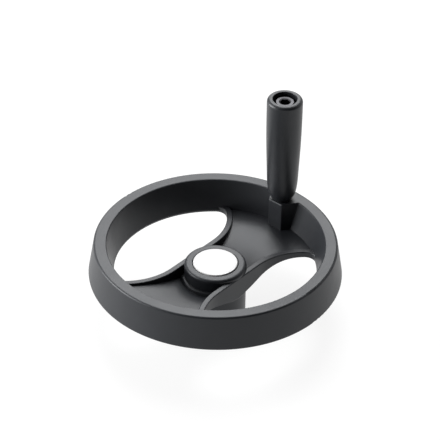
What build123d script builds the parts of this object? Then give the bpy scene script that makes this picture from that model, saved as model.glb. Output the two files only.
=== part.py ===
from build123d import *
from math import radians, tan
import os

# Two-spoke machine handwheel with a revolving grip, in millimetres.
# The origin is on the wheel's axis, at the hub's lower face. +Z runs up the axis,
# the spokes lie along X, and the grip stands on the +X side.

# --- Rim: flat top, sides that spread downwards, and a channel open beneath ---
rim_outer_r = 80.05
rim_top_z = 53.5
rim_height = 22.5
rim_flare = 3.55
rim_top_width = 7.9
rim_inner_flare = 5.1
rim_outer_edge_r = 1.5
rim_inner_edge_r = 0.7
rim_outer_foot_r = 1.0
rim_inner_foot_r = 1.5
rim_wall = 3.1

# --- Spokes: a dished web between two upright ribs, one along each opening ---
rib_drop = 18.5
rib_width = 3.8
rib_hub_overhang = 0.05
rib_straight = 20.0
rib_bend_r = 39.2
rib_edge_r = 0.7
opening_corner_r = 7.0
web_below_ribs = 1.5
web_flat_width = 6.4
web_dish = 6.7
web_root_thickness = 6.5
web_rim_fillet = 2.4
rim_overlap = 0.2

# --- Hub, with a stepped foot on the web ---
hub_r = 19.75
hub_height = 37.9
hub_low_inset = 0.2
hub_top_edge_r = 2.2
hub_bottom_chamfer = 0.3
hub_step_width = 2.0
hub_step_drop = 8.7
hub_step_edge_r = 1.5
hub_step_draft = 0.4
hub_root_fillet = 2.5

# --- Steel bush moulded into the hub ---
bore_d = 14.0
bush_cover = 5.75
bush_groove_width = 5.0
bush_groove_depth = 1.2
bush_chamfer = 0.6

# --- Cap pushed into the hub's recess ---
recess_depth = 10.9
hub_lip_width = 5.4
hub_lip_edge_r = 0.6
cap_seat_width = 2.35
cap_thickness = 2.5
cap_proud = 0.5
cap_side_gap = 0.3
cap_edge_r = 0.5
cap_skirt_wall = 1.6
cap_skirt_depth = 5.0
cap_fit = 0.05
cap_bead = 0.3
cap_bead_height = 1.2

# --- Handle boss on the rim's inner side ---
handle_inset = 15.25
boss_wall = 1.25
boss_face_width = 10.4
boss_splay = 35.0
boss_edge_r = 0.8

# --- Threaded insert moulded into the boss ---
insert_wall = 1.2
insert_length = 15.0
insert_groove_width = 2.0
insert_groove_depth = 0.5
thread_fit = 0.05
thread_end_room = 2.0

# --- Spindle: a shoulder screw with a hexagon socket in its head ---
thread_d = 8.0
thread_length = 13.0
thread_chamfer = 0.8
spindle_d = 10.0
head_d = 12.0
head_height = 4.1
head_chamfer = 0.5
socket_flats = 6.0
socket_depth = 5.5
socket_mouth_d = 7.8
socket_mouth_depth = 0.5
socket_turn = 10.6

# --- Revolving grip ---
grip_running_fit = 0.05
grip_end_play = 0.3
grip_length = 75.7
grip_foot_width = 0.6
grip_heel_r = 9.0
grip_heel_height = 6.7
grip_heel_lean = 0.2
grip_waist_r = 10.1
grip_waist_height = 19.7
grip_belly_r = 10.85
grip_belly_height = 38.0
grip_shoulder_r = 11.35
grip_lip_r = 2.3
grip_recess_depth = 6.6
grip_head_gap = 1.7
grip_recess_edge_r = 0.4

# --- Worked out from the sizes above ---
rim_top_outer_r = rim_outer_r - rim_flare
rim_top_inner_r = rim_top_outer_r - rim_top_width
rim_inner_r = rim_top_inner_r - rim_inner_flare
rim_foot_z = rim_top_z - rim_height
rim_inner_slope = rim_inner_flare / rim_height
channel_height = rim_height - rim_wall
channel_top_z = rim_foot_z + channel_height
channel_inner_r = rim_inner_r + rim_wall
channel_outer_r = rim_outer_r - rim_wall
channel_top_inner_r = channel_inner_r + rim_inner_slope * channel_height
channel_top_outer_r = channel_outer_r - rim_flare / rim_height * channel_height
rib_offset = hub_r + rib_hub_overhang
rib_top_z = rim_top_z - rib_drop
web_flat_r = rim_inner_r - web_flat_width
web_top_z = rib_top_z - web_below_ribs
web_wall_r = rim_inner_r + rim_inner_slope * (web_top_z - rim_foot_z) + rim_overlap
web_lip_z = web_top_z + 2 * web_rim_fillet
web_root_top_z = web_top_z - web_dish
web_root_under_z = web_root_top_z - web_root_thickness
root_mid_z = (web_root_top_z + web_root_under_z) / 2
root_low_z = web_root_under_z - 2 * hub_root_fillet
hub_low_r = hub_r - hub_low_inset
# The openings end where the ribs' tops run into the rim's sloping side.
opening_r = rim_inner_r + rim_inner_slope * (rib_top_z - rim_foot_z)
web_buried_r = rim_inner_r + rim_wall
hub_step_r = hub_r + hub_step_width
hub_foot_r = hub_step_r + hub_step_draft
hub_step_z = hub_height - hub_step_drop
bush_r = hub_r - bush_cover
bush_height = hub_height - recess_depth
pocket_r = hub_r - hub_lip_width
recess_r = pocket_r - cap_seat_width
cap_r = pocket_r - cap_side_gap
cap_seat_z = hub_height + cap_proud - cap_thickness
skirt_r = recess_r - cap_fit
skirt_low_z = cap_seat_z - cap_skirt_depth
bead_low_z = skirt_low_z + cap_bead_height
bead_mid_z = bead_low_z + cap_bead_height / 2
bead_high_z = bead_low_z + cap_bead_height
handle_r = rim_outer_r - handle_inset
insert_hole_r = thread_d / 2 + thread_fit
insert_r = insert_hole_r + insert_wall
insert_low_z = rim_top_z - insert_length
boss_face_r = handle_r - insert_r - boss_wall
boss_back_r = rim_top_inner_r + rim_wall
boss_back_width = boss_face_width + 2 * (boss_back_r - boss_face_r) * tan(radians(boss_splay))
boss_low_z = (web_top_z + rim_foot_z) / 2
grip_foot_z = rim_top_z + grip_end_play
grip_top_z = grip_foot_z + grip_length
grip_floor_z = grip_top_z - grip_recess_depth
grip_bore_r = spindle_d / 2 + grip_running_fit
grip_recess_r = head_d / 2 + grip_head_gap
head_under_z = grip_floor_z + grip_end_play
head_top_z = head_under_z + head_height
handle_axis = Axis((handle_r, 0, 0), (0, 0, 1))
handle_section = Plane((handle_r, 0, 0), x_dir=(1, 0, 0), z_dir=(0, -1, 0))

# --- Plans: one lens-shaped opening, both openings, the web and the ribs ---
with BuildSketch() as opening:
    with BuildLine():
        flat = Line((-rib_straight, rib_offset), (rib_straight, rib_offset))
        right_bend = JernArc(flat @ 1, (1, 0), rib_bend_r, 75)
        left_bend = JernArc(flat @ 0, (-1, 0), rib_bend_r, -75)
        Polyline(
            right_bend @ 1,
            ((right_bend @ 1).X, rim_outer_r),
            ((left_bend @ 1).X, rim_outer_r),
            left_bend @ 1,
        )
    make_face()
    Circle(opening_r, mode=Mode.INTERSECT)
    fillet(opening.vertices().group_by(Axis.Y)[-1], opening_corner_r)

with BuildSketch() as rib_plan:
    add(opening.sketch)
    offset(amount=rib_width)
    add(opening.sketch, mode=Mode.SUBTRACT)
    mirror(about=Plane.XZ)

# The web stops halfway through the ribs, clear of their rounded edges.
with BuildSketch() as cut_from_web:
    add(opening.sketch)
    offset(amount=rib_width / 2)
    mirror(about=Plane.XZ)

# --- Hollow under web and ribs, from the hub's side out past the rim ---
with BuildSketch(Plane.XZ) as hollow:
    with BuildLine():
        ceiling = TangentArc((web_flat_r, rim_foot_z), (hub_low_r, web_root_under_z), tangent=(-1, 0))
        Polyline(ceiling @ 1, (hub_low_r, 0), (rim_outer_r, 0), (rim_outer_r, rim_foot_z), ceiling @ 0)
    make_face()
    fillet(hollow.vertices().group_by(Axis.X)[0].sort_by(Axis.Y)[-1], hub_root_fillet)

# --- Web, dished on top as well, with the hub's stepped foot ---
with BuildPart() as web:
    with BuildSketch(Plane.XZ) as web_profile:
        with BuildLine():
            TangentArc((web_flat_r, web_top_z), (hub_foot_r, web_root_top_z), tangent=(-1, 0))
            step_side = Line((hub_foot_r, web_root_top_z), (hub_step_r, hub_step_z - hub_step_edge_r))
            step_edge = TangentArc(
                step_side @ 1, (hub_step_r - hub_step_edge_r, hub_step_z), tangent=(0, 1)
            )
            Polyline(
                step_edge @ 1,
                (0, hub_step_z),
                (0, root_low_z),
                (web_buried_r, root_low_z),
                (web_buried_r, web_lip_z),
                (web_wall_r + rim_inner_slope * (web_lip_z - web_top_z), web_lip_z),
                (web_wall_r, web_top_z),
                (web_flat_r, web_top_z),
            )
        make_face()
        fillet(web_profile.vertices().sort_by_distance((web_wall_r, 0, web_top_z))[0], web_rim_fillet)
    revolve(axis=Axis.Z)
    extrude(cut_from_web.sketch, amount=rim_top_z, mode=Mode.SUBTRACT)
    revolve(hollow.sketch, axis=Axis.Z, mode=Mode.SUBTRACT)

# --- Ribs, rounded along their top edges ---
with BuildPart() as ribs:
    add(Plane.XY.offset(root_low_z) * rib_plan.sketch)
    extrude(amount=rib_top_z - root_low_z)
    fillet(ribs.faces().group_by(Axis.Z)[-1].edges(), rib_edge_r)
    revolve(hollow.sketch, axis=Axis.Z, mode=Mode.SUBTRACT)

# --- Handle boss: wedge-shaped in plan, rising from the web and merging with the rim ---
with BuildPart() as boss:
    with BuildSketch(Plane.XY.offset(boss_low_z)):
        with BuildLine():
            Polyline(
                (boss_face_r, -boss_face_width / 2),
                (boss_back_r, -boss_back_width / 2),
                (boss_back_r, boss_back_width / 2),
                (boss_face_r, boss_face_width / 2),
                close=True,
            )
        make_face()
    extrude(amount=rim_top_z - boss_low_z)
    fillet(boss.edges().filter_by(Axis.Z).group_by(Axis.X)[0], boss_edge_r)
    fillet(boss.faces().sort_by(Axis.Z)[-1].edges(), boss_edge_r)

# --- Hub, a little slimmer below the web ---
with BuildPart() as hub:
    with BuildSketch():
        Circle(hub_low_r)
    extrude(amount=root_mid_z)
    with BuildSketch(Plane.XY.offset(root_mid_z)):
        Circle(hub_r)
    extrude(amount=hub_height - root_mid_z)
    fillet(hub.edges().group_by(Axis.Z)[-1], hub_top_edge_r)
    chamfer(hub.edges().group_by(Axis.Z)[0], hub_bottom_chamfer)

# --- Outlines of the bush and the insert: each cuts its own seat in the moulding ---
with BuildSketch(Plane.XZ) as bush_outline:
    with Locations((0, bush_height / 2)):
        Rectangle(2 * bush_r, bush_height)
        with Locations((-bush_r, 0), (bush_r, 0)):
            Rectangle(2 * bush_groove_depth, bush_groove_width, mode=Mode.SUBTRACT)
    split(bisect_by=Plane.YZ)

with BuildSketch(handle_section) as insert_outline:
    with Locations((0, rim_top_z - insert_length / 2)):
        Rectangle(2 * insert_r, insert_length)
        with Locations((-insert_r, 0), (insert_r, 0)):
            Rectangle(2 * insert_groove_depth, insert_groove_width, mode=Mode.SUBTRACT)
    split(bisect_by=Plane.YZ)

# --- Channel in the rim, left solid behind the handle's insert ---
with BuildPart() as channel:
    with BuildSketch(Plane.XZ):
        with BuildLine():
            Polyline(
                (channel_top_inner_r, channel_top_z),
                (channel_top_outer_r, channel_top_z),
                (channel_outer_r, rim_foot_z),
                (channel_inner_r, rim_foot_z),
                close=True,
            )
        make_face()
    revolve(axis=Axis.Z)
    with Locations((handle_r, 0, rim_foot_z)):
        Box(
            rim_outer_r - handle_r,
            2 * (insert_r + rim_wall),
            rim_height,
            align=(Align.MIN, Align.CENTER, Align.MIN),
            mode=Mode.SUBTRACT,
        )

# --- Wheel body: rim, web, ribs, hub and boss are one moulding ---
with BuildPart() as wheel_body:
    with BuildSketch(Plane.XZ):
        with BuildLine():
            Polyline(
                (rim_top_inner_r, rim_top_z),
                (rim_top_outer_r, rim_top_z),
                (rim_outer_r, rim_foot_z),
                (rim_inner_r, rim_foot_z),
                close=True,
            )
        make_face()
    revolve(axis=Axis.Z)
    for level, pick, edge_r in (
        (-1, -1, rim_outer_edge_r),
        (-1, 0, rim_inner_edge_r),
        (0, -1, rim_outer_foot_r),
        (0, 0, rim_inner_foot_r),
    ):
        circles = wheel_body.edges().filter_by(GeomType.CIRCLE).group_by(Axis.Z)[level]
        fillet(circles.sort_by(SortBy.RADIUS)[pick], edge_r)
    add(web.part)
    add(ribs.part)
    add(hub.part)
    add(boss.part)
    add(channel.part, mode=Mode.SUBTRACT)
    # Recess under the cap: the cap's pocket and seat, and a groove for its snap bead.
    with BuildSketch(Plane.XZ):
        with BuildLine():
            Polyline(
                (0, bush_height),
                (recess_r, bush_height),
                (recess_r, bead_low_z - cap_fit),
                (recess_r + cap_bead, bead_low_z - cap_fit),
                (recess_r + cap_bead, bead_high_z + cap_fit),
                (recess_r, bead_high_z + cap_fit),
                (recess_r, cap_seat_z),
                (pocket_r, cap_seat_z),
                (pocket_r, hub_height - hub_lip_edge_r),
            )
            lip_edge = TangentArc(
                (pocket_r, hub_height - hub_lip_edge_r),
                (pocket_r + hub_lip_edge_r, hub_height),
                tangent=(0, 1),
            )
            Polyline(lip_edge @ 1, (lip_edge @ 1 + (0, 1)), (0, hub_height + 1), (0, bush_height))
        make_face()
    revolve(axis=Axis.Z, mode=Mode.SUBTRACT)
    revolve(bush_outline.sketch, axis=Axis.Z, mode=Mode.SUBTRACT)
    revolve(insert_outline.sketch, axis=handle_axis, mode=Mode.SUBTRACT)
    with Locations((handle_r, 0, insert_low_z)):
        Cylinder(
            insert_hole_r,
            thread_end_room,
            align=(Align.CENTER, Align.CENTER, Align.MAX),
            mode=Mode.SUBTRACT,
        )
wheel_body.part.label = "wheel_body"

# --- Steel bush: turned, with an anchoring groove and a chamfered bore ---
with BuildPart() as hub_bush:
    revolve(bush_outline.sketch, axis=Axis.Z)
    with BuildSketch():
        Circle(bore_d / 2)
    extrude(amount=bush_height, mode=Mode.SUBTRACT)
    bore_edges = hub_bush.edges().filter_by(GeomType.CIRCLE).filter_by(lambda e: e.radius == bore_d / 2)
    chamfer(bore_edges, bush_chamfer)
hub_bush.part.label = "hub_bush"

# --- Threaded insert: a grooved sleeve, the thread itself left out ---
with BuildPart() as boss_insert:
    revolve(insert_outline.sketch, axis=handle_axis)
    with BuildSketch(Plane.XY.offset(insert_low_z)):
        with Locations((handle_r, 0)):
            Circle(insert_hole_r)
    extrude(amount=insert_length, mode=Mode.SUBTRACT)
boss_insert.part.label = "boss_insert"

# --- Cap: a disc with a hollow skirt and a snap bead ---
with BuildPart() as hub_cap:
    with BuildSketch(Plane.XZ):
        with BuildLine():
            Polyline(
                (0, cap_seat_z),
                (skirt_r - cap_skirt_wall, cap_seat_z),
                (skirt_r - cap_skirt_wall, skirt_low_z),
                (skirt_r, skirt_low_z),
                (skirt_r, bead_low_z),
                (skirt_r + cap_bead, bead_mid_z),
                (skirt_r, bead_high_z),
                (skirt_r, cap_seat_z),
                (cap_r, cap_seat_z),
                (cap_r, cap_seat_z + cap_thickness),
                (0, cap_seat_z + cap_thickness),
                close=True,
            )
        make_face()
    revolve(axis=Axis.Z)
    fillet(hub_cap.edges().group_by(Axis.Z)[-1], cap_edge_r)
hub_cap.part.label = "hub_cap"

# --- Spindle ---
with BuildPart() as spindle:
    with BuildSketch(handle_section):
        with BuildLine():
            Polyline(
                (0, rim_top_z - thread_length),
                (thread_d / 2 - thread_chamfer, rim_top_z - thread_length),
                (thread_d / 2, rim_top_z - thread_length + thread_chamfer),
                (thread_d / 2, rim_top_z),
                (spindle_d / 2, rim_top_z),
                (spindle_d / 2, head_under_z),
                (head_d / 2, head_under_z),
                (head_d / 2, head_top_z - head_chamfer),
                (head_d / 2 - head_chamfer, head_top_z),
                (0, head_top_z),
                close=True,
            )
        make_face()
    revolve(axis=handle_axis)
    with BuildSketch(Plane.XY.offset(head_top_z)):
        with Locations((handle_r, 0)):
            RegularPolygon(socket_flats / 2, 6, major_radius=False, rotation=socket_turn)
    extrude(amount=-socket_depth, mode=Mode.SUBTRACT)
    with Locations((handle_r, 0, head_top_z)):
        Cone(
            socket_flats / 2,
            socket_mouth_d / 2,
            socket_mouth_depth,
            align=(Align.CENTER, Align.CENTER, Align.MAX),
            mode=Mode.SUBTRACT,
        )
spindle.part.label = "spindle"

# --- Grip: swells upwards from a rounded foot, with a recess round the spindle's head ---
with BuildPart() as grip:
    with BuildSketch(handle_section) as grip_outline:
        with BuildLine():
            foot = Line((grip_bore_r, grip_foot_z), (grip_bore_r + grip_foot_width, grip_foot_z))
            flank = Spline(
                (grip_heel_r, grip_foot_z + grip_heel_height),
                (grip_waist_r, grip_foot_z + grip_waist_height),
                (grip_belly_r, grip_foot_z + grip_belly_height),
                (grip_shoulder_r, grip_top_z - grip_lip_r),
                tangents=((grip_heel_lean, 1), (0, 1)),
            )
            TangentArc(flank @ 0, foot @ 1, tangent=(-grip_heel_lean, -1))
            lip = JernArc(flank @ 1, (0, 1), grip_lip_r, 90)
            Polyline(
                lip @ 1,
                (grip_recess_r, grip_top_z),
                (grip_recess_r, grip_floor_z),
                (grip_bore_r, grip_floor_z),
                foot @ 0,
            )
        make_face()
    revolve(axis=handle_axis)
    mouth = grip.edges().filter_by(GeomType.CIRCLE).group_by(Axis.Z)[-1].sort_by(SortBy.RADIUS)[0]
    fillet(mouth, grip_recess_edge_r)
grip.part.label = "grip"

os.makedirs("parts", exist_ok=True)
export_step(wheel_body.part, "parts/wheel_body.step")
export_step(hub_bush.part, "parts/hub_bush.step")
export_step(hub_cap.part, "parts/hub_cap.step")
export_step(boss_insert.part, "parts/boss_insert.step")
export_step(spindle.part, "parts/spindle.step")
export_step(grip.part, "parts/grip.step")
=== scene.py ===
"""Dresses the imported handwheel: plastics, metals, camera, floor and studio light."""

import math

import bpy
from bpy.props import FloatProperty, FloatVectorProperty, PointerProperty
from mathutils import Matrix, Vector


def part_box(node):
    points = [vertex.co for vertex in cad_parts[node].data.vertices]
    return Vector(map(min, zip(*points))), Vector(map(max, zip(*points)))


bl_info = {
    "name": "Machine Handwheel",
    "version": (1, 0, 0),
    "blender": (4, 5, 0),
    "location": "3D View > Sidebar > Handwheel",
    "description": "Finishes the handwheel's pieces and sets its stage, light and camera",
    "category": "Object",
}

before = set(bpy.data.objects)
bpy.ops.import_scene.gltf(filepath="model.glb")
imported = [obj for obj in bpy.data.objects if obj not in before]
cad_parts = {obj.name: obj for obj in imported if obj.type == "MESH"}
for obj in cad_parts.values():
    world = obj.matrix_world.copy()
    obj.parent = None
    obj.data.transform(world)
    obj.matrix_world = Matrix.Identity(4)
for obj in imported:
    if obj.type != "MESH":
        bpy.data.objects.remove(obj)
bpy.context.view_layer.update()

MM = 0.001
WHITE = (1.0, 1.0, 1.0)
COOL_WHITE = (0.955, 0.975, 1.0)

# Noise mostly stays between these two levels, so colour and gloss are spread over them.
NOISE_LOW = 0.3
NOISE_HIGH = 0.7

# Moulded plastic: patches per metre, and how far their colour and gloss stray.
MOTTLE_SCALE = 90.0
MOTTLE_DARK = 0.92
MOTTLE_LIGHT = 1.08
MOTTLE_GLOSS = 0.02

# Cap: flow marks of the white plastic.
FLOW_SCALE = 160.0
FLOW_DEPTH = 0.01 * MM
FLOW_STRENGTH = 0.4
FLOW_DARK = 0.985

# Turned metal: tool marks, and how far they change the gloss.
TOOL_DEPTH = 0.02 * MM
TOOL_STRENGTH = 0.6
TOOL_GLOSS = 0.06

# Lamps: width, height above the horizon in degrees, and turn from behind the wheel.
LAMP_DISTANCE = 2.0
LAMP_AIM_HEIGHT = 40 * MM
KEY_SIZE = 1.2
KEY_ELEVATION = 60
BACK_SIZE = 1.3
BACK_ELEVATION = 35
SIDE_SIZE = 1.3
SIDE_ELEVATION = 13
SIDE_TURN = 90

# Brightness that the lamps give the floor, taken off its glow so that it stays white.
FLOOR_LIGHT = 0.6

# How gradually the backdrop gives way to the dim room, as a share of the way round.
BACKDROP_FADE = 0.3

# Camera: where it stands beside and above the line through the rim's middle.
CAMERA_ASIDE = 2.683 * MM
CAMERA_ABOVE = 14.131 * MM
CAMERA_SENSOR = 36.0
CAMERA_REACH = 50.0


# --- Settings ---------------------------------------------------------------


def colour(name, description, default):
    return FloatVectorProperty(
        name=name, description=description, subtype="COLOR", size=3, min=0, max=1, default=default
    )


def share(name, description, default):
    return FloatProperty(
        name=name, description=description, subtype="FACTOR", min=0, max=1, default=default
    )


def length(name, description, default):
    return FloatProperty(
        name=name, description=description, unit="LENGTH", min=0, default=default, precision=5
    )


def power(name, description, default):
    return FloatProperty(name=name, description=description, unit="POWER", min=0, default=default)


def angle(name, description, degrees):
    return FloatProperty(
        name=name, description=description, subtype="ANGLE", default=math.radians(degrees)
    )


class WheelFinish(bpy.types.PropertyGroup):
    """Moulded plastic of the wheel"""

    colour: colour("Colour", "Plastic of rim, web, hub and boss", (0.0195, 0.0212, 0.0250))
    roughness: share("Roughness", "How matt the moulded surface is", 0.42)
    gloss: share("Gloss", "How strongly the surface mirrors", 0.45)
    grain: length("Grain", "Size of the texture left by the mould", 0.5 * MM)
    grain_depth: length("Grain Depth", "Depth of that texture", 0.012 * MM)


class GripFinish(bpy.types.PropertyGroup):
    """Moulded plastic of the revolving grip"""

    colour: colour("Colour", "Plastic of the grip", (0.0185, 0.0202, 0.0235))
    roughness: share("Roughness", "How matt the grip is", 0.40)
    gloss: share("Gloss", "How strongly the surface mirrors", 0.45)
    grain: length("Grain", "Size of the texture left by the mould", 0.5 * MM)
    grain_depth: length("Grain Depth", "Depth of that texture", 0.010 * MM)


class CapFinish(bpy.types.PropertyGroup):
    """White plastic of the hub's cap"""

    colour: colour("Colour", "Plastic of the cap", (0.90, 0.90, 0.90))
    roughness: share("Roughness", "How matt the cap is", 0.42)


class MetalFinish(bpy.types.PropertyGroup):
    """Spindle, bush and insert"""

    spindle_colour: colour("Spindle", "Blackened steel of the spindle", (0.07, 0.07, 0.075))
    bush_colour: colour("Bush", "Turned steel of the hub's bush", (0.52, 0.52, 0.53))
    insert_colour: colour("Insert", "Brass of the threaded insert", (0.72, 0.53, 0.26))
    roughness: share("Roughness", "How matt the metals are", 0.38)
    tool_pitch: length("Tool Pitch", "Distance between turning marks", 0.25 * MM)


class StageSettings(bpy.types.PropertyGroup):
    """Floor, light and camera"""

    floor_size: length("Floor", "Width of the floor", 2.4)
    floor_gap: length("Floor Gap", "How far the floor lies below the hub", 0.1 * MM)
    floor_shade: share("Floor Shade", "How strongly the floor shows a shadow", 0.20)
    floor_bounce: share("Floor Bounce", "How much light the floor throws back", 0.60)
    key_power: power("Key", "High light behind the wheel", 25.0)
    back_power: power("Back", "Lower light behind the wheel", 15.0)
    side_power: power("Side", "Low light on the left", 63.0)
    ambient: share("Ambient", "Strength of the surroundings' light", 0.0)
    backdrop: share("Backdrop", "How bright the backdrop mirrors in gloss", 0.80)
    room: share("Room", "How bright the room in front mirrors in gloss", 0.08)
    camera_azimuth: angle("Camera Azimuth", "0 looks along +Y", -49.906)
    camera_height: angle("Camera Elevation", "Above the horizon", 36.0)
    camera_roll: angle("Camera Roll", "Tilt of the picture", 0.993)
    camera_distance: length("Camera Distance", "From the middle of the rim's top", 1.690)
    camera_lens: FloatProperty(name="Lens", description="Focal length in millimetres", default=220.909)


# --- Shader helpers ---------------------------------------------------------


class Shader:
    """A node tree with short calls for adding and joining nodes."""

    def __init__(self, name):
        self.material = bpy.data.materials.new(name)
        self.material.use_nodes = True
        self.tree = self.material.node_tree
        self.tree.nodes.clear()

    @classmethod
    def on_tree(cls, tree):
        made = cls.__new__(cls)
        made.tree = tree
        tree.nodes.clear()
        return made

    def node(self, kind, inputs=None, **settings):
        made = self.tree.nodes.new("ShaderNode" + kind)
        for key, value in settings.items():
            setattr(made, key, value)
        for key, value in (inputs or {}).items():
            if isinstance(value, bpy.types.NodeSocket):
                self.tree.links.new(value, made.inputs[key])
            else:
                made.inputs[key].default_value = value
        return made

    def finish(self, shader_socket):
        output = self.node("OutputMaterial")
        self.tree.links.new(shader_socket, output.inputs["Surface"])
        return self.material


def rgba(rgb):
    return (*rgb, 1.0)


def tint(rgb, factor):
    return rgba([min(1.0, c * factor) for c in rgb])


def varied_roughness(s, noise, roughness, spread):
    """The roughness, strayed by the noise to either side."""
    return s.node(
        "MapRange",
        {
            "Value": noise.outputs["Fac"],
            "From Min": NOISE_LOW,
            "From Max": NOISE_HIGH,
            "To Min": roughness - spread,
            "To Max": roughness + spread,
        },
    )


def moulded_plastic(name, finish):
    """Fine-grained matt plastic: mottled a little in colour and in gloss."""
    s = Shader(name)
    place = s.node("TexCoord").outputs["Object"]
    mottle = s.node(
        "TexNoise", {"Vector": place, "Scale": MOTTLE_SCALE, "Detail": 3.0, "Roughness": 0.55}
    )
    shade = s.node("ValToRGB", {"Fac": mottle.outputs["Fac"]})
    dark, light = shade.color_ramp.elements
    dark.position = NOISE_LOW
    dark.color = tint(finish.colour, MOTTLE_DARK)
    light.position = NOISE_HIGH
    light.color = tint(finish.colour, MOTTLE_LIGHT)
    gloss = varied_roughness(s, mottle, finish.roughness, MOTTLE_GLOSS)
    grain = s.node(
        "TexNoise", {"Vector": place, "Scale": 1 / finish.grain, "Detail": 2.0, "Roughness": 0.5}
    )
    bump = s.node("Bump", {"Height": grain.outputs["Fac"], "Distance": finish.grain_depth})
    surface = s.node(
        "BsdfPrincipled",
        {
            "Base Color": shade.outputs["Color"],
            "Roughness": gloss.outputs["Result"],
            "Normal": bump.outputs["Normal"],
            "Specular IOR Level": finish.gloss,
            "Specular Tint": rgba(COOL_WHITE),
        },
    )
    return s.finish(surface.outputs["BSDF"])


def turned_metal(name, rgb, finish, axis):
    """Metal with fine turning marks round the given (x, y) axis."""
    s = Shader(name)
    place = s.node("TexCoord").outputs["Object"]
    centred = s.node("VectorMath", {0: place, 1: (axis[0], axis[1], 0)}, operation="SUBTRACT")
    parts = s.node("SeparateXYZ", {"Vector": centred.outputs["Vector"]})
    flat = s.node("CombineXYZ", {"X": parts.outputs["X"], "Y": parts.outputs["Y"]})
    radius = s.node("VectorMath", {0: flat.outputs["Vector"]}, operation="LENGTH")
    path = s.node("Math", {0: radius.outputs["Value"], 1: parts.outputs["Z"]}, operation="ADD")
    along = s.node("CombineXYZ", {"X": path.outputs["Value"]})
    marks = s.node(
        "TexNoise", {"Vector": along.outputs["Vector"], "Scale": 1 / finish.tool_pitch, "Detail": 1.0}
    )
    bump = s.node(
        "Bump",
        {"Height": marks.outputs["Fac"], "Distance": TOOL_DEPTH, "Strength": TOOL_STRENGTH},
    )
    gloss = varied_roughness(s, marks, finish.roughness, TOOL_GLOSS)
    surface = s.node(
        "BsdfPrincipled",
        {
            "Base Color": rgba(rgb),
            "Metallic": 1.0,
            "Roughness": gloss.outputs["Result"],
            "Normal": bump.outputs["Normal"],
        },
    )
    return s.finish(surface.outputs["BSDF"])


def dress(node, material):
    """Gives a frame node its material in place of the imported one."""
    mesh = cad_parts[node].data
    mesh.materials.clear()
    mesh.materials.append(material)


# --- Pieces -----------------------------------------------------------------


class HANDWHEEL_OT_wheel(bpy.types.Operator):
    """Finish the moulded wheel body"""

    bl_idname = "handwheel.wheel"
    bl_label = "Wheel Body"

    def execute(self, context):
        dress("wheel_body", moulded_plastic("black_moulding", context.scene.handwheel_wheel))
        return {"FINISHED"}


class HANDWHEEL_OT_grip(bpy.types.Operator):
    """Finish the revolving grip"""

    bl_idname = "handwheel.grip"
    bl_label = "Revolving Grip"

    def execute(self, context):
        dress("grip", moulded_plastic("grip_moulding", context.scene.handwheel_grip))
        return {"FINISHED"}


class HANDWHEEL_OT_cap(bpy.types.Operator):
    """Finish the white cap of the hub"""

    bl_idname = "handwheel.cap"
    bl_label = "Hub Cap"

    def execute(self, context):
        finish = context.scene.handwheel_cap
        s = Shader("white_cap")
        place = s.node("TexCoord").outputs["Object"]
        flow = s.node("TexNoise", {"Vector": place, "Scale": FLOW_SCALE, "Detail": 2.0})
        bump = s.node(
            "Bump",
            {"Height": flow.outputs["Fac"], "Distance": FLOW_DEPTH, "Strength": FLOW_STRENGTH},
        )
        shade = s.node("ValToRGB", {"Fac": flow.outputs["Fac"]})
        dark, light = shade.color_ramp.elements
        dark.color = tint(finish.colour, FLOW_DARK)
        light.color = rgba(finish.colour)
        surface = s.node(
            "BsdfPrincipled",
            {
                "Base Color": shade.outputs["Color"],
                "Roughness": finish.roughness,
                "Normal": bump.outputs["Normal"],
            },
        )
        dress("hub_cap", s.finish(surface.outputs["BSDF"]))
        return {"FINISHED"}


class HANDWHEEL_OT_metal(bpy.types.Operator):
    """Finish the spindle, the hub's bush and the threaded insert"""

    bl_idname = "handwheel.metal"
    bl_label = "Metal Pieces"

    def execute(self, context):
        finish = context.scene.handwheel_metal
        low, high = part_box("spindle")
        handle_axis = ((low.x + high.x) / 2, (low.y + high.y) / 2)
        dress("spindle", turned_metal("spindle_steel", finish.spindle_colour, finish, handle_axis))
        dress("hub_bush", turned_metal("bush_steel", finish.bush_colour, finish, (0, 0)))
        dress("boss_insert", turned_metal("insert_brass", finish.insert_colour, finish, handle_axis))
        return {"FINISHED"}


# --- Stage ------------------------------------------------------------------


def seen_rays(s):
    """1 where the camera, glass or polished metal looks, 0 for the light that falls on things."""
    path = s.node("LightPath")
    mirrored = s.node(
        "Math",
        {0: path.outputs["Is Glossy Ray"], 1: path.outputs["Is Transmission Ray"]},
        operation="MAXIMUM",
    )
    return path.outputs["Is Camera Ray"], mirrored.outputs["Value"]


def floor_material(shade, bounce):
    """White where it is seen, with the shadow kept at the given strength."""
    s = Shader("studio_floor")
    camera, mirrored = seen_rays(s)
    seen_or_mirrored = s.node("Math", {0: camera, 1: mirrored}, operation="MAXIMUM")
    lit = s.node("BsdfDiffuse", {"Color": rgba([shade] * 3)})
    glow = s.node("Emission", {"Color": rgba(WHITE), "Strength": 1.0 - shade * FLOOR_LIGHT})
    seen = s.node("AddShader", {0: lit.outputs["BSDF"], 1: glow.outputs["Emission"]})
    plain = s.node("BsdfDiffuse", {"Color": rgba([bounce] * 3)})
    mix = s.node(
        "MixShader",
        {0: seen_or_mirrored.outputs["Value"], 1: plain.outputs["BSDF"], 2: seen.outputs["Shader"]},
    )
    return s.finish(mix.outputs["Shader"])


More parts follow.
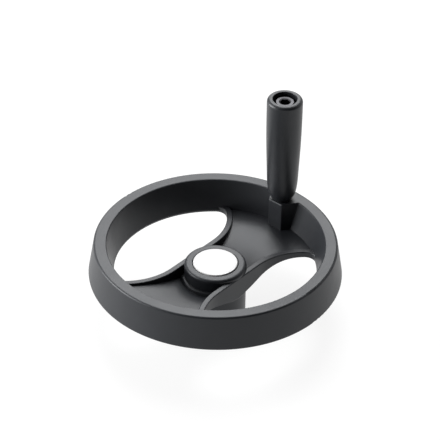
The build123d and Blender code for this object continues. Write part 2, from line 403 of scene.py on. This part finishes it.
def soft_light(name, size, watts, azimuth, elevation):
    """A square lamp that faces the wheel's middle; its direction is in degrees."""
    data = bpy.data.lights.new(name, "AREA")
    data.size = size
    data.energy = watts
    lamp = bpy.data.objects.new(name, data)
    bpy.context.scene.collection.objects.link(lamp)
    a, e = math.radians(azimuth), math.radians(elevation)
    away = Vector((-math.sin(a) * math.cos(e), math.cos(a) * math.cos(e), math.sin(e)))
    lamp.location = Vector((0, 0, LAMP_AIM_HEIGHT)) + away * LAMP_DISTANCE
    lamp.rotation_euler = away.to_track_quat("Z", "Y").to_euler()
    lamp.visible_camera = False


def white_world(ambient, backdrop, room, view):
    """White to the camera, and as mirrored by gloss it is pale behind the wheel and dim in front."""
    world = bpy.data.worlds.new("studio")
    world.use_nodes = True
    s = Shader.on_tree(world.node_tree)
    camera, mirrored = seen_rays(s)
    towards = s.node(
        "VectorMath",
        {0: s.node("TexCoord").outputs["Generated"], 1: (-math.sin(view), math.cos(view), 0)},
        operation="DOT_PRODUCT",
    )
    surroundings = s.node(
        "MapRange",
        {
            "Value": towards.outputs["Value"],
            "From Min": -BACKDROP_FADE,
            "From Max": BACKDROP_FADE,
            "To Min": room,
            "To Max": backdrop,
        },
    )
    light = s.node(
        "Mix",
        {"Factor": mirrored, "A": ambient, "B": surroundings.outputs["Result"]},
        data_type="FLOAT",
    )
    strength = s.node(
        "Mix", {"Factor": camera, "A": light.outputs["Result"], "B": 1.0}, data_type="FLOAT"
    )
    background = s.node(
        "Background", {"Color": rgba(WHITE), "Strength": strength.outputs["Result"]}
    )
    output = s.node("OutputWorld")
    s.tree.links.new(background.outputs["Background"], output.inputs["Surface"])
    bpy.context.scene.world = world


def place_camera(stage):
    """Looks at the middle of the rim's top, which stands a little off the picture's centre."""
    data = bpy.data.cameras.new("camera")
    data.lens = stage.camera_lens
    data.sensor_width = CAMERA_SENSOR
    data.clip_end = CAMERA_REACH
    camera = bpy.data.objects.new("camera", data)
    bpy.context.scene.collection.objects.link(camera)
    turn = (
        Matrix.Rotation(stage.camera_azimuth, 4, "Z")
        @ Matrix.Rotation(math.radians(90) - stage.camera_height, 4, "X")
        @ Matrix.Rotation(stage.camera_roll, 4, "Z")
    )
    rim_top = Vector((0, 0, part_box("wheel_body")[1].z))
    off_centre = Vector((CAMERA_ASIDE, CAMERA_ABOVE, stage.camera_distance))
    camera.matrix_world = Matrix.Translation(rim_top + turn @ off_centre) @ turn
    bpy.context.scene.camera = camera


class HANDWHEEL_OT_stage(bpy.types.Operator):
    """Set the floor, the studio light and the camera"""

    bl_idname = "handwheel.stage"
    bl_label = "Stage"

    def execute(self, context):
        stage = context.scene.handwheel_stage
        half = stage.floor_size / 2
        mesh = bpy.data.meshes.new("floor")
        low = -stage.floor_gap
        corners = [(-half, -half, low), (half, -half, low), (half, half, low), (-half, half, low)]
        mesh.from_pydata(corners, [], [(0, 1, 2, 3)])
        floor = bpy.data.objects.new("floor", mesh)
        context.scene.collection.objects.link(floor)
        mesh.materials.append(floor_material(stage.floor_shade, stage.floor_bounce))
        view = math.degrees(stage.camera_azimuth)
        soft_light("key", KEY_SIZE, stage.key_power, view, KEY_ELEVATION)
        soft_light("back", BACK_SIZE, stage.back_power, view, BACK_ELEVATION)
        soft_light("side", SIDE_SIZE, stage.side_power, view + SIDE_TURN, SIDE_ELEVATION)
        white_world(stage.ambient, stage.backdrop, stage.room, stage.camera_azimuth)
        context.scene.view_settings.view_transform = "Standard"
        place_camera(stage)
        return {"FINISHED"}


class HANDWHEEL_PT_panel(bpy.types.Panel):
    """Lists the handwheel's pieces and their finishes"""

    bl_idname = "HANDWHEEL_PT_panel"
    bl_label = "Machine Handwheel"
    bl_space_type = "VIEW_3D"
    bl_region_type = "UI"
    bl_category = "Handwheel"

    def draw(self, context):
        for operator, settings in STEPS:
            box = self.layout.box()
            box.operator(operator.bl_idname)
            group = getattr(context.scene, settings)
            for name in group.bl_rna.properties.keys():
                if name not in {"rna_type", "name"}:
                    box.prop(group, name)


SETTINGS = {
    "handwheel_wheel": WheelFinish,
    "handwheel_grip": GripFinish,
    "handwheel_cap": CapFinish,
    "handwheel_metal": MetalFinish,
    "handwheel_stage": StageSettings,
}
STEPS = (
    (HANDWHEEL_OT_wheel, "handwheel_wheel"),
    (HANDWHEEL_OT_grip, "handwheel_grip"),
    (HANDWHEEL_OT_cap, "handwheel_cap"),
    (HANDWHEEL_OT_metal, "handwheel_metal"),
    (HANDWHEEL_OT_stage, "handwheel_stage"),
)
CLASSES = (*SETTINGS.values(), *(operator for operator, _ in STEPS), HANDWHEEL_PT_panel)


def register():
    for cls in CLASSES:
        bpy.utils.register_class(cls)
    for name, group in SETTINGS.items():
        setattr(bpy.types.Scene, name, PointerProperty(type=group))


def unregister():
    for name in SETTINGS:
        delattr(bpy.types.Scene, name)
    for cls in reversed(CLASSES):
        bpy.utils.unregister_class(cls)


def main():
    register()
    bpy.ops.handwheel.wheel()
    bpy.ops.handwheel.grip()
    bpy.ops.handwheel.cap()
    bpy.ops.handwheel.metal()
    bpy.ops.handwheel.stage()


if __name__ == "__main__":
    main()
